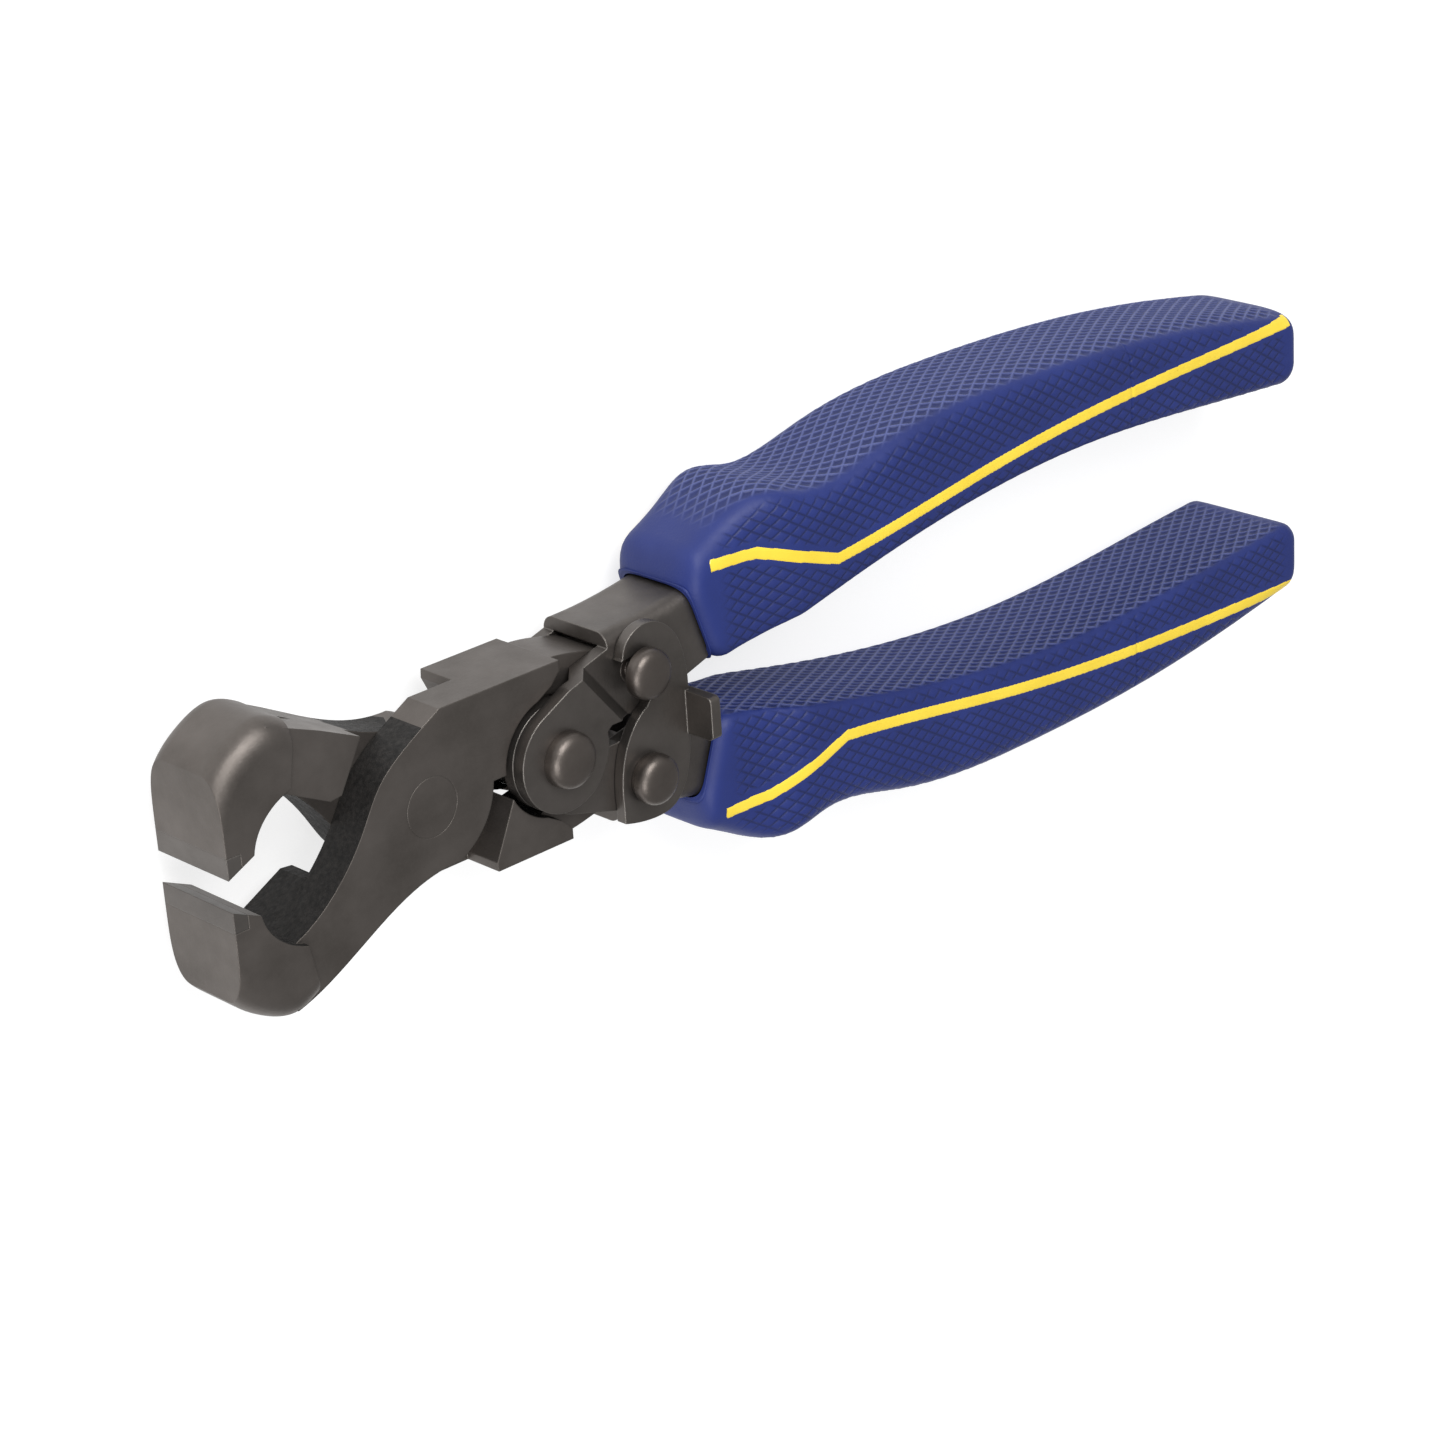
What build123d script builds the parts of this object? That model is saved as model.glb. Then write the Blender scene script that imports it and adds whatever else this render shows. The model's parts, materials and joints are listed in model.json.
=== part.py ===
from build123d import *
import os
from math import acos, atan2, cos, degrees, hypot, radians, sin

os.makedirs("parts", exist_ok=True)

# Compound-action tile nippers, lying flat with the latch side up and the jaws nearly shut.
#
# Every piece is drawn in the mechanism frame: origin on the handle pivot at mid thickness, +X towards the
# handle ends, +Y towards the upper handle, +Z towards the latch side.  save() then moves it to the part's
# own frame, whose origin is under the middle of the tool on the surface that the grips lie on.
# The two jaws are one shape and the two handles are one shape: the second of each is the first turned half
# a turn about the X axis.

# ---- Driving dimensions, mm ---------------------------------------------------------------------------
JAW_TIP_X = -52.5
HANDLE_END_X = 146.8
MOUTH_GAP = 4.2
JAW_HALF = 6.0
HEAD_HALF = 7.0
HEAD_CROWN_R = 3.3
TAIL_HALF = 4.1
TAIL_EYE_R = 4.0
LAP_GAP = 0.05

PLATE = 1.9
CHANNEL_HALF = 6.1
LOBE_LOW = 6.2
LOBE_R = 7.3
BEND_R = 2.0
SHANK_END_X = 118.0

GRIP_HALF = 10.0
NOSE_HALF = 7.9
GRIP_EDGE_R = 2.2
GRIP_CORNER_R = 3.2
STRIPE_WIDTH = 1.7
STRIPE_DEPTH = 1.6

# ---- Pivots -------------------------------------------------------------------------------------------
LINK_X = 13.85
LINK_Y = 7.4
JAW_PIVOT_X = -20.5
HANDLE_SHANK_R = 3.0
LINK_SHANK_R = 2.0
LATCH_NECK_R = 1.2
JAW_SHANK_R = 4.0
RUNNING = 0.05
OPEN_PIVOT_CLEARANCE = 0.12
HANDLE_HEAD_R = 3.8
HANDLE_HEAD_HEIGHT = 2.5
HANDLE_TAIL_HEIGHT = 1.8
LINK_HEAD_R = 3.45
LINK_HEAD_HEIGHT = 2.3
LINK_TAIL_HEIGHT = 1.9
SLEEVE_R = 3.9

# ---- Latch and spring ---------------------------------------------------------------------------------
LATCH_LOW = 6.2
LATCH_HIGH = 7.8
FLANGE_TOP = 12.6
FLANGE_X = 22.0
FLANGE_WIDTH = 6.0
FLANGE_BEND_R = 1.5
FLANGE_CORNER_R = 0.8
HEAD_SEAT = 8.6
WASHER_R = 3.1
SPRING_R = 5.1
WIRE_R = 0.7
SPRING_HEIGHT = 5.6
SPRING_TURNS = 3
SPRING_LEG_END = (17.5, 1.9)

HALF_TURN = Rot(180, 0, 0)
FAR = 20


def outline(*edges):
    """The flat face inside a closed run of edges."""
    return make_face(edges)


def slab(face, low, high):
    """A face of the XY plane made solid from z = low to z = high."""
    return Pos(0, 0, low) * extrude(face, high - low)


def polygon_slab(points, low, high):
    """A straight-sided solid on a closed run of points."""
    return slab(make_face(Polyline(*points, close=True)), low, high)


def rod(x, y, radius, low, high):
    """A round bar along Z at (x, y)."""
    return Pos(x, y, (low + high) / 2) * Cylinder(radius, high - low)


def on_circle(radius, angle, centre=(0, 0)):
    """The point of a circle at an angle in degrees from +X."""
    turn = radians(angle)
    return (centre[0] + radius * cos(turn), centre[1] + radius * sin(turn))


def arc(radius, start, end, centre=(0, 0)):
    """The arc of a circle from one angle to another, in degrees."""
    points = [on_circle(radius, a, centre) for a in (start, (start + end) / 2, end)]
    return ThreePointArc(*points)


def domed_head(x, y, radius, seat, height):
    """A rivet head: a short straight rim and a low dome, standing up from z = seat."""
    rim = 0.25 * height
    crown = Spline((radius, seat + rim), (0, seat + height), tangents=[(0, 1), (-1, 0)])
    profile = outline(
        Line((0, seat), (radius, seat)),
        Line((radius, seat), (radius, seat + rim)),
        crown,
        Line((0, seat + height), (0, seat)),
    )
    return Pos(x, y, 0) * revolve(Plane.XZ * profile, Axis.Z)


def edges_at(part, test):
    """The edges of a solid whose middle point passes a test."""
    return [e for e in part.edges() if test(e.position_at(0.5), e)]


# ---- Jaws ---------------------------------------------------------------------------------------------
def jaw_arm():
    """The lapped half of the lower jaw: arm, pivot cheek and tail block, above mid thickness."""
    clearance_r = LOBE_R + 1.0
    lobe_start = on_circle(clearance_r, 180)
    lobe_end = on_circle(clearance_r, 105)
    forged_edge = Spline((-44, -18.9), (-36, -15.6), (-25, -10.1), (-17, -8.7))
    inner_edge = Spline((-18, 12.4), (-23, 9.6), (-28.3, 5.5), (-31.5, 0.5), (-37, -6.0), (-44, -10.2))
    face = outline(
        forged_edge,
        ThreePointArc((-17, -8.7), (-12.4, -5.2), (-10.4, 0)),
        Line((-10.4, 0), lobe_start),
        arc(clearance_r, 180, 105),
        Line(lobe_end, (0.3, 9.4)),
        Line((0.3, 9.4), (1.8, 11)),
        Line((1.8, 11), (1.8, 12.4)),
        Line((1.8, 12.4), (-18, 12.4)),
        inner_edge,
        Line((-44, -10.2), (-44, -18.9)),
    )
    return slab(face, LAP_GAP, JAW_HALF)


def jaw_far_blocks():
    """The two blocks below mid thickness that carry the head and the tail past the lap."""
    clearance_r = LOBE_R + 1.0
    neck = [(-30.3, -12.9), (-34.0, -6.4), (-35.8, -6.2), (-44, -10.4), (-44, -18.9), (-36, -15.6)]
    tail_face = outline(
        Line(on_circle(clearance_r, 105), (0.3, 9.4)),
        Line((0.3, 9.4), (1.8, 11)),
        Line((1.8, 11), (1.8, 12.4)),
        Line((1.8, 12.4), (-10.9, 12.4)),
        Line((-10.9, 12.4), (-11, 11.2)),
        Line((-11, 11.2), on_circle(clearance_r, 154)),
        arc(clearance_r, 154, 105),
    )
    return polygon_slab(neck, -JAW_HALF, LAP_GAP) + slab(tail_face, -JAW_HALF, LAP_GAP)


def jaw_head():
    """The wide nipping head: a rounded crown, ground off flat across the end."""
    edge_y = -MOUTH_GAP / 2
    blank_x = JAW_TIP_X - HEAD_CROWN_R
    crown = Spline(
        (blank_x, edge_y),
        (blank_x + 0.3, -7.5),
        (-54.2, -12.2),
        (-51.9, -15.6),
        (-48.8, -18.0),
        (-45, -19.6),
        (-40.5, -18.4),
        tangents=[(0, -1), (0.86, 0.5)],
    )
    throat = Spline((-48.4, -4.0), (-47.2, -6.9), (-44.6, -9.3), (-42, -10.4))
    face = outline(
        crown,
        Line((-40.5, -18.4), (-42, -10.4)),
        throat,
        Line((-48.4, -4.0), (JAW_TIP_X, edge_y)),
        Line((JAW_TIP_X, edge_y), (blank_x, edge_y)),
    )
    blank = slab(face, -HEAD_HALF, HEAD_HALF)

    def on_crown(middle, edge):
        flat = abs(abs(middle.Z) - HEAD_HALF) < 0.01
        return flat and middle.Y < -12 and edge.length > 10

    blank = fillet(edges_at(blank, on_crown), HEAD_CROWN_R)
    ground_off = [(JAW_TIP_X - FAR, -FAR * 2), (JAW_TIP_X, -FAR * 2), (JAW_TIP_X, FAR), (JAW_TIP_X - FAR, FAR)]
    return blank - polygon_slab(ground_off, -FAR, FAR)


def carbide_tip():
    """The brazed cutting edge: a narrow bar along the whole width of the head."""
    edge_y = -MOUTH_GAP / 2
    profile = [(JAW_TIP_X, edge_y), (JAW_TIP_X, edge_y - 2.8), (-50.4, edge_y - 2.8), (-50.4, edge_y - 0.973)]
    return polygon_slab(profile, -HEAD_HALF, HEAD_HALF)


def jaw_tail():
    """The thin tail that runs between the channel's side plates to the link rivet."""
    top = Spline((-2.0, 12.3), (3.5, 12.1), (7.6, 11.3), (11.4, 10.3), tangents=[(1, 0), (1, -0.35)])
    bar = outline(
        top,
        Line((11.4, 10.3), (LINK_X, LINK_Y)),
        Line((LINK_X, LINK_Y), (10.8, 4.9)),
        Line((10.8, 4.9), (4.0, 6.9)),
        Line((4.0, 6.9), (-2.0, 8.2)),
        Line((-2.0, 8.2), (-2.0, 12.3)),
    )
    return slab(bar, -TAIL_HALF, TAIL_HALF) + rod(LINK_X, LINK_Y, TAIL_EYE_R, -TAIL_HALF, TAIL_HALF)


def lower_jaw():
    """The jaw with its head below the centre line and its tail on the upper handle's link rivet."""
    body = jaw_arm() + jaw_far_blocks() + jaw_head() + jaw_tail()
    link_bore = rod(LINK_X, LINK_Y, LINK_SHANK_R + RUNNING, -TAIL_HALF - 1, TAIL_HALF + 1)
    return body - carbide_tip() - link_bore


def jaws():
    """Both jaws, their carbide tips, and the rivet they turn on."""
    low, high = -JAW_HALF - 1, JAW_HALF + 1
    fixed = rod(JAW_PIVOT_X, 0, JAW_SHANK_R, low, high)
    loose = rod(JAW_PIVOT_X, 0, JAW_SHANK_R + OPEN_PIVOT_CLEARANCE, low, high)
    save("lower_jaw", lower_jaw() - fixed)
    save("upper_jaw", HALF_TURN * lower_jaw() - loose)
    save("lower_carbide_tip", carbide_tip())
    save("upper_carbide_tip", HALF_TURN * carbide_tip())
    save("jaw_pivot_rivet", rod(JAW_PIVOT_X, 0, JAW_SHANK_R, -JAW_HALF, JAW_HALF))


# ---- Handles ------------------------------------------------------------------------------------------
def lobe_face():
    """Side view of the front of a handle stamping: the round lobe and its flare up to the web."""
    flare = (1.5, 8.9)
    lean = degrees(atan2(flare[1], flare[0])) + degrees(acos(LOBE_R / hypot(*flare)))
    return outline(
        Line((14, 11.2), (9.9, 11.3)),
        Line((9.9, 11.3), flare),
        Line(flare, on_circle(LOBE_R, lean)),
        arc(LOBE_R, lean, 370),
        Line(on_circle(LOBE_R, 370), (8.0, 1.9)),
        Line((8.0, 1.9), (10.6, 1.9)),
        Line((10.6, 1.9), (14, 1.1)),
        Line((14, 1.1), (14, 11.2)),
    )


def joggled_sheet():
    """A sheet that steps down from the outer lobe level to the channel level along a slanted crease."""
    crease_start = Vector(4.2, 8.9, 0)
    crease_end = Vector(10.0, 1.6, 0)
    along = (crease_end - crease_start).normalized()
    across = Vector(-along.Y, along.X, 0)
    lobe_high = LOBE_LOW + PLATE
    low = CHANNEL_HALF - PLATE
    section = [
        (-60, lobe_high),
        (0, lobe_high),
        (1.9, CHANNEL_HALF),
        (60, CHANNEL_HALF),
        (60, low),
        (1.2, low),
        (-0.7, LOBE_LOW),
        (-60, LOBE_LOW),
    ]
    plane = Plane(origin=crease_start - along * 60, x_dir=across, z_dir=along)
    return extrude(plane * make_face(Polyline(*section, close=True)), 130)


def channel_shank():
    """The U-section shank: a bent web along the outside and two side plates, open towards the centre."""
    web = [(9.9, 13.3), (23, 14.5), (42, 18.6), (70, 21.2), (SHANK_END_X, 21.8)]
    face = outline(
        Spline(*web),
        Line((SHANK_END_X, 21.8), (SHANK_END_X, 17.4)),
        Spline((SHANK_END_X, 17.4), (70, 16.6), (45, 12.6), (32, 7.6), (26.8, 4.5)),
        Line((26.8, 4.5), (21.6, 2.9)),
        Line((21.6, 2.9), (14, 1.1)),
        Line((14, 1.1), (10.6, 1.9)),
        Line((10.6, 1.9), (9.9, 1.9)),
        Line((9.9, 1.9), (9.9, 13.3)),
    )
    block = slab(face, -CHANNEL_HALF, CHANNEL_HALF)

    def on_bend(middle, edge):
        flat = abs(abs(middle.Z) - CHANNEL_HALF) < 0.01
        return flat and edge.length > 100 and middle.Y > 18

    block = fillet(edges_at(block, on_bend), BEND_R)
    inner = [(x, y - PLATE) for x, y in web]
    start = (inner[0][0] - 1, inner[0][1])
    end = (inner[-1][0] + 1, inner[-1][1])
    cavity = outline(
        Line(start, inner[0]),
        Spline(*inner),
        Line(inner[-1], end),
        Line(end, (end[0], -20)),
        Line((end[0], -20), (start[0], -20)),
        Line((start[0], -20), start),
    )
    hollow = CHANNEL_HALF - PLATE
    return block - slab(cavity, -hollow, hollow)


def handle_channel(pivot_bore_r):
    """The upper handle: the joggled lobe on the latch side, the flat lobe on the back, and the shank."""
    lobe = slab(lobe_face(), 0, FAR)
    sheet = joggled_sheet()
    inner_lobe = slab(lobe_face(), -CHANNEL_HALF, -CHANNEL_HALF + PLATE)
    outer_lobe = lobe & sheet
    crease_zone = lobe & Pos(10, 5, FAR / 2) * Box(8, 30, FAR)
    shank = channel_shank() - (crease_zone - sheet)
    bores = rod(0, 0, pivot_bore_r, -FAR, FAR) + rod(LINK_X, LINK_Y, LINK_SHANK_R, -FAR, FAR)
    return inner_lobe + outer_lobe + shank - bores


def link_rivet(neck_r):
    """A link rivet: shank through both side plates, a neck at latch level and a head above it."""
    seat = CHANNEL_HALF
    return (
        rod(LINK_X, LINK_Y, LINK_SHANK_R, -seat, seat)
        + rod(LINK_X, LINK_Y, neck_r, seat, HEAD_SEAT)
        + domed_head(LINK_X, LINK_Y, LINK_HEAD_R, HEAD_SEAT, LINK_HEAD_HEIGHT)
        + HALF_TURN * domed_head(LINK_X, -LINK_Y, LINK_HEAD_R, seat, LINK_TAIL_HEIGHT)
    )


def mirrored_link_rivet():
    """The lower handle's link rivet, whose full shank carries the latch."""
    return mirror(link_rivet(LINK_SHANK_R), Plane.XZ)


def handle_pivot_rivet():
    """The large rivet through the four lobes, fixed in the upper handle."""
    front = LOBE_LOW + PLATE
    back = front + RUNNING
    return (
        rod(0, 0, HANDLE_SHANK_R, -back, front)
        + domed_head(0, 0, HANDLE_HEAD_R, front, HANDLE_HEAD_HEIGHT)
        + HALF_TURN * domed_head(0, 0, HANDLE_HEAD_R, back, HANDLE_TAIL_HEIGHT)
    )


def pivot_sleeve():
    """The spacer tube that keeps the inner lobes apart and centres the spring."""
    tube = rod(0, 0, SLEEVE_R, -TAIL_HALF, TAIL_HALF)
    return tube - rod(0, 0, HANDLE_SHANK_R, -FAR, FAR)


def torsion_spring():
    """The wire spring around the sleeve, whose two legs press the jaw tails apart."""
    reach = hypot(*SPRING_LEG_END)
    tangent = degrees(atan2(SPRING_LEG_END[1], SPRING_LEG_END[0])) + degrees(acos(SPRING_R / reach))
    turns = SPRING_TURNS + (360 - 2 * tangent) / 360
    coil = Helix(SPRING_HEIGHT / turns, SPRING_HEIGHT, SPRING_R, lefthand=True)
    coil = Rot(0, 0, -tangent) * Pos(0, 0, -SPRING_HEIGHT / 2) * coil
    leg_x, leg_y = SPRING_LEG_END
    lower_leg = Line((leg_x, -leg_y, (coil @ 0).Z), coil @ 0)
    upper_leg = Line(coil @ 1, (leg_x, leg_y, (coil @ 1).Z))
    wire = Wire([lower_leg, coil, upper_leg])
    cut_end = Plane(origin=lower_leg @ 0, z_dir=lower_leg % 0) * Circle(WIRE_R)
    return sweep(cut_end, path=wire, transition=Transition.TRANSFORMED, is_frenet=False)


def handles():
    """Both channels and everything riveted to them."""
    save("upper_handle_channel", handle_channel(HANDLE_SHANK_R))
    save("lower_handle_channel", HALF_TURN * handle_channel(HANDLE_SHANK_R + RUNNING))
    save("handle_pivot_rivet", handle_pivot_rivet())
    save("pivot_sleeve", pivot_sleeve())
    save("torsion_spring", torsion_spring())
    save("upper_link_rivet", link_rivet(LATCH_NECK_R))
    save("lower_link_rivet", mirrored_link_rivet())


# ---- Latch --------------------------------------------------------------------------------------------
def latch_throat():
    """The open throat under the hook, with room for the upper link rivet's neck to swing out."""
    hook_inner_r = 17.35
    pivot = (LINK_X, -LINK_Y)
    return outline(
        arc(hook_inner_r, 108, 84, pivot),
        Line(on_circle(hook_inner_r, 84, pivot), (17.0, 8.4)),
        Line((17.0, 8.4), (16.6, 4.9)),
        Line((16.6, 4.9), (14.6, 2.3)),
        Spline((14.6, 2.3), (12.5, 0.7), (10.7, -1.9), (9.6, -5.2), (9.3, -10.2)),
        Line((9.3, -10.2), (0, -10.2)),
        Line((0, -10.2), on_circle(hook_inner_r, 108, pivot)),
    )


def latch_plate():
    """The hook latch: a flat plate on the lower link rivet, a hook over the upper one and a thumb flange."""
    face = outline(
        Spline((10.9, 9.9), (11.9, 12.2), (15.2, 13.6), (19.4, 11.6), (21.4, 7.4), (21.8, 2.2)),
        Line((21.8, 2.2), (21.6, -3.8)),
        Spline((21.6, -3.8), (20.8, -9.0), (18.2, -12.8), (14.6, -13.5), (9.3, -12.6)),
        Line((9.3, -12.6), (9.3, -10.2)),
        Line((9.3, -10.2), (5.0, -4.0)),
        Line((5.0, -4.0), (9.9, 9.0)),
        Line((9.9, 9.0), (10.9, 9.9)),
    )
    plate = slab(face, LATCH_LOW, LATCH_HIGH) - slab(latch_throat(), 0, FAR)
    height = FLANGE_TOP - LATCH_LOW
    flange = Pos(FLANGE_X, -0.8, LATCH_LOW + height / 2) * Box(LATCH_HIGH - LATCH_LOW, FLANGE_WIDTH, height)

    def on_outer_bend(middle, edge):
        along_y = abs(edge.length - FLANGE_WIDTH) < 0.01
        return along_y and middle.X > FLANGE_X and middle.Z < LATCH_LOW + 0.1

    def on_top_corner(middle, edge):
        return abs(middle.Z - FLANGE_TOP) < 0.01 and abs(middle.X - FLANGE_X) < 0.01

    flange = fillet(edges_at(flange, on_outer_bend), FLANGE_BEND_R)
    flange = fillet(edges_at(flange, on_top_corner), FLANGE_CORNER_R)
    return plate + flange - rod(LINK_X, -LINK_Y, LINK_SHANK_R + RUNNING, 0, FAR)


def latch():
    """The latch plate and the washer that holds it down."""
    washer = rod(LINK_X, -LINK_Y, WASHER_R, LATCH_HIGH + RUNNING, HEAD_SEAT - RUNNING)
    save("latch_plate", latch_plate())
    save("latch_washer", washer - rod(LINK_X, -LINK_Y, LINK_SHANK_R, 0, FAR))


# ---- Grips --------------------------------------------------------------------------------------------
def between_flanks(inset):
    """Everything between the grip's two side faces, which draw in towards the nose, less an inset."""
    nose = NOSE_HALF - inset
    full = GRIP_HALF - inset
    draw = [(20, nose), (31, nose), (43, full), (150, full)]
    other_draw = [(x, -z) for x, z in reversed(draw)]
    plan = outline(
        Line(draw[0], draw[1]),
        Spline(draw[1], draw[2], tangents=[(1, 0), (1, 0)]),
        Line(draw[2], draw[3]),
        Line(draw[3], other_draw[0]),
        Line(other_draw[0], other_draw[1]),
        Spline(other_draw[1], other_draw[2], tangents=[(-1, 0), (-1, 0)]),
        Line(other_draw[2], other_draw[3]),
        Line(other_draw[3], draw[0]),
    )
    return extrude(Plane.XZ * plan, 2 * FAR, both=True)


def grip_shell():
    """The moulded outer shape of the upper grip, as a solid."""
    nose_low, nose_mid, nose_high = (27.6, 3.6), (23.6, 15.2), (24.8, 19.8)
    end_high, end_low = (HANDLE_END_X, 21.8), (HANDLE_END_X, 10.8)
    hump = [(30.5, 22.7), (37.8, 25.4), (44.5, 24.1), (60, 26.2)]
    back = Spline(nose_high, *hump, (87, 28.2), (113, 27.0), (132, 24.6), end_high)
    belly = Spline(end_low, (128, 12.2), (101, 13.8), (76, 12.4), (52, 8.4), (36, 5.0), nose_low)
    face = outline(Line(nose_low, nose_mid), Line(nose_mid, nose_high), back, Line(end_high, end_low), belly)
    body = slab(fillet(face.vertices(), GRIP_CORNER_R), -FAR, FAR) & between_flanks(0)

    def on_flank_edge(middle, edge):
        return abs(middle.Z) > NOSE_HALF - 1

    return fillet(edges_at(body, on_flank_edge), GRIP_EDGE_R)


def stripe_band():
    """The thin coloured line along the grip's side: two straight runs, then a long gentle curve."""
    bend = (48.3, 12.8)
    path = [(27.2, 17.6), (35.0, 17.3), bend, (60, 14.2), (80, 17.1), (100, 19.1), (120, 20.1), (145, 20.9)]
    upper, lower = [], []
    for i, (x, y) in enumerate(path):
        before = path[max(i - 1, 0)]
        after = path[min(i + 1, len(path) - 1)]
        run = Vector(after[0] - before[0], after[1] - before[1], 0).normalized() * (STRIPE_WIDTH / 2)
        upper.append((x - run.Y, y + run.X))
        lower.append((x + run.Y, y - run.X))
    return outline(
        Polyline(*upper[:3]),
        Spline(*upper[2:]),
        Line(upper[-1], lower[-1]),
        Spline(*reversed(lower[2:])),
        Polyline(*reversed(lower[:3])),
        Line(lower[0], upper[0]),
    )


def grips():
    """Both moulded grips around their shanks, with inlaid stripes on both sides."""
    shell = grip_shell()
    front_stripe = (shell & slab(stripe_band(), 0, FAR)) - between_flanks(STRIPE_DEPTH)
    back_stripe = mirror(front_stripe, Plane.XY)
    grip = shell - channel_shank() - front_stripe - back_stripe
    save("upper_grip", grip)
    save("lower_grip", HALF_TURN * grip)
    save("upper_front_stripe", front_stripe)
    save("upper_back_stripe", back_stripe)
    save("lower_front_stripe", HALF_TURN * back_stripe)
    save("lower_back_stripe", HALF_TURN * front_stripe)


# ---- Output -------------------------------------------------------------------------------------------
def save(name, solid):
    """Moves a piece to the part's frame and writes it as parts/NAME.step."""
    middle_x = (JAW_TIP_X + HANDLE_END_X) / 2
    export_step(Pos(-middle_x, 0, GRIP_HALF) * solid, f"parts/{name}.step")


jaws()
handles()
latch()
grips()
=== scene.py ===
import json
from math import cos, hypot, pi, radians, sin

import bmesh
import bpy
import numpy as np
from mathutils import Matrix, Vector
from mathutils.bvhtree import BVHTree


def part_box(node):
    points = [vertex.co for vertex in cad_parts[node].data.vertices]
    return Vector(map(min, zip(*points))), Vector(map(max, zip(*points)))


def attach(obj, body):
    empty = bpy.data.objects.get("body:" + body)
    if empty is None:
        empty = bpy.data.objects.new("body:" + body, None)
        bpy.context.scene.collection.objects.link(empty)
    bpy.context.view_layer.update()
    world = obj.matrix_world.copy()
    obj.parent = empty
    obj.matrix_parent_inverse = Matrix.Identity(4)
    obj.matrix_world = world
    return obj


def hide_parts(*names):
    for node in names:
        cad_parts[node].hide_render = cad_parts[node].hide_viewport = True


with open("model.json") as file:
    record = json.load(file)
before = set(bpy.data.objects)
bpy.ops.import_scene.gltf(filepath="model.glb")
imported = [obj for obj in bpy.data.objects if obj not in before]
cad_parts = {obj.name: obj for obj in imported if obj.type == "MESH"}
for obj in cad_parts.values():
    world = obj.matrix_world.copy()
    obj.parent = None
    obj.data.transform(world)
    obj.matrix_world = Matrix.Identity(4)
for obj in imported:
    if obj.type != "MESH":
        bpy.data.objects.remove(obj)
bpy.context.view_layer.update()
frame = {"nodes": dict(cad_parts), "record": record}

# Tile nippers lying on a pale floor: the steel parts get blackened finishes and edges rounded in their
# shading, the grips get their moulded lattice, and the spring is split into the halves that follow the handles.
# Lengths in the builders are millimetres; MM brings them to metres.
MM = 0.001
NODES = frame["nodes"]
JOINTS = {joint["name"]: joint for joint in frame["record"]["behaviour"]["joints"]}
PIVOT = Vector(JOINTS["handles_open"]["pos_m"])
MID_Z = PIVOT.z

# Places along the tool, in mm from the handle pivot
JAW_PIVOT_X = -20.5
JAW_TIP_X = -52.5
COLLAR_X = 25.35

# Steel: folds sharper than EASED_FOLD go to the bevel, and folds gentler than GENTLE_FOLD are shaded as one
# surface; the edge shading's radius is in metres
EASED_FOLD = radians(38)
GENTLE_FOLD = radians(25)
FLAT_FOLD = radians(0.6)
CRISP_PIVOT_R = 4.6
EDGE_SHADING_R = 0.00028

# Grips: the moulded lattice, and how far the nose leans back
LATTICE_PITCH = 1.5
LATTICE_ANGLE = radians(32)
RIDGE_HALF = 0.28
FACE_DEPTH = 0.26
SIDE_DEPTH = 0.12
RIDGE_WIDTH = 0.26
GROOVE_WIDTH = 0.24
NOSE_LEAN = radians(-19)
GRIP_CORNER_R = 3.2

# How far outside the tool the rays for the stripes start, in metres
FAR = 0.03


# ---- Meshes -------------------------------------------------------------------------------------------
def smoothstep(low, high, x):
    """0 below low, 1 above high, smooth between; works on arrays."""
    t = np.clip((x - low) / (high - low), 0, 1)
    return t * t * (3 - 2 * t)


def add_piece(name, mesh, body, slot, material, *replaced):
    """Links a mesh as a named piece that rides on a body and stands for its CAD nodes."""
    piece = bpy.data.objects.new(name, mesh)
    bpy.context.scene.collection.objects.link(piece)
    mesh.materials.append(material)
    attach(piece, body)
    if replaced:
        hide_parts(*replaced)
    return piece


def shade_smooth(mesh):
    """Marks every face as smooth."""
    mesh.polygons.foreach_set("use_smooth", [True] * len(mesh.polygons))


def node_bmesh(*names):
    """The welded meshes of CAD nodes in one bmesh."""
    bm = bmesh.new()
    for name in names:
        bm.from_mesh(NODES[name].data)
    bmesh.ops.remove_doubles(bm, verts=bm.verts, dist=1e-6)
    return bm


def sharp_edges(bm):
    """Edges whose two faces meet sharply enough to go to the bevel."""
    return [e for e in bm.edges if e.is_manifold and EASED_FOLD < e.calc_face_angle(0) <= pi]


def mesh_with_normals(bm, name):
    """A mesh shaded smooth over gentle folds, where large flats keep their own normal up to their rims."""
    bm.normal_update()
    bm.faces.index_update()
    area = [f.calc_area() for f in bm.faces]
    gentle = cos(GENTLE_FOLD)
    kept = bm.loops.layers.float_vector.new("kept_normal")
    for face in bm.faces:
        for loop in face.loops:
            near = [f for f in loop.vert.link_faces if f.normal.dot(face.normal) > gentle]
            normal = sum((f.normal * area[f.index] for f in near), Vector((0, 0, 0)))
            loop[kept] = normal.normalized() if normal.length > 0 else face.normal
    bmesh.ops.triangulate(bm, faces=[f for f in bm.faces if len(f.verts) > 4])
    normals = [loop[kept].copy() for face in bm.faces for loop in face.loops]
    bm.loops.layers.float_vector.remove(kept)
    mesh = bpy.data.meshes.new(name)
    bm.to_mesh(mesh)
    shade_smooth(mesh)
    mesh.normals_split_custom_set(normals)
    return mesh


def tool_place(point):
    """A point as millimetres from the handle pivot."""
    return (point - PIVOT) / MM


def never(middle):
    """The test that no edge passes."""
    return False


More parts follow.
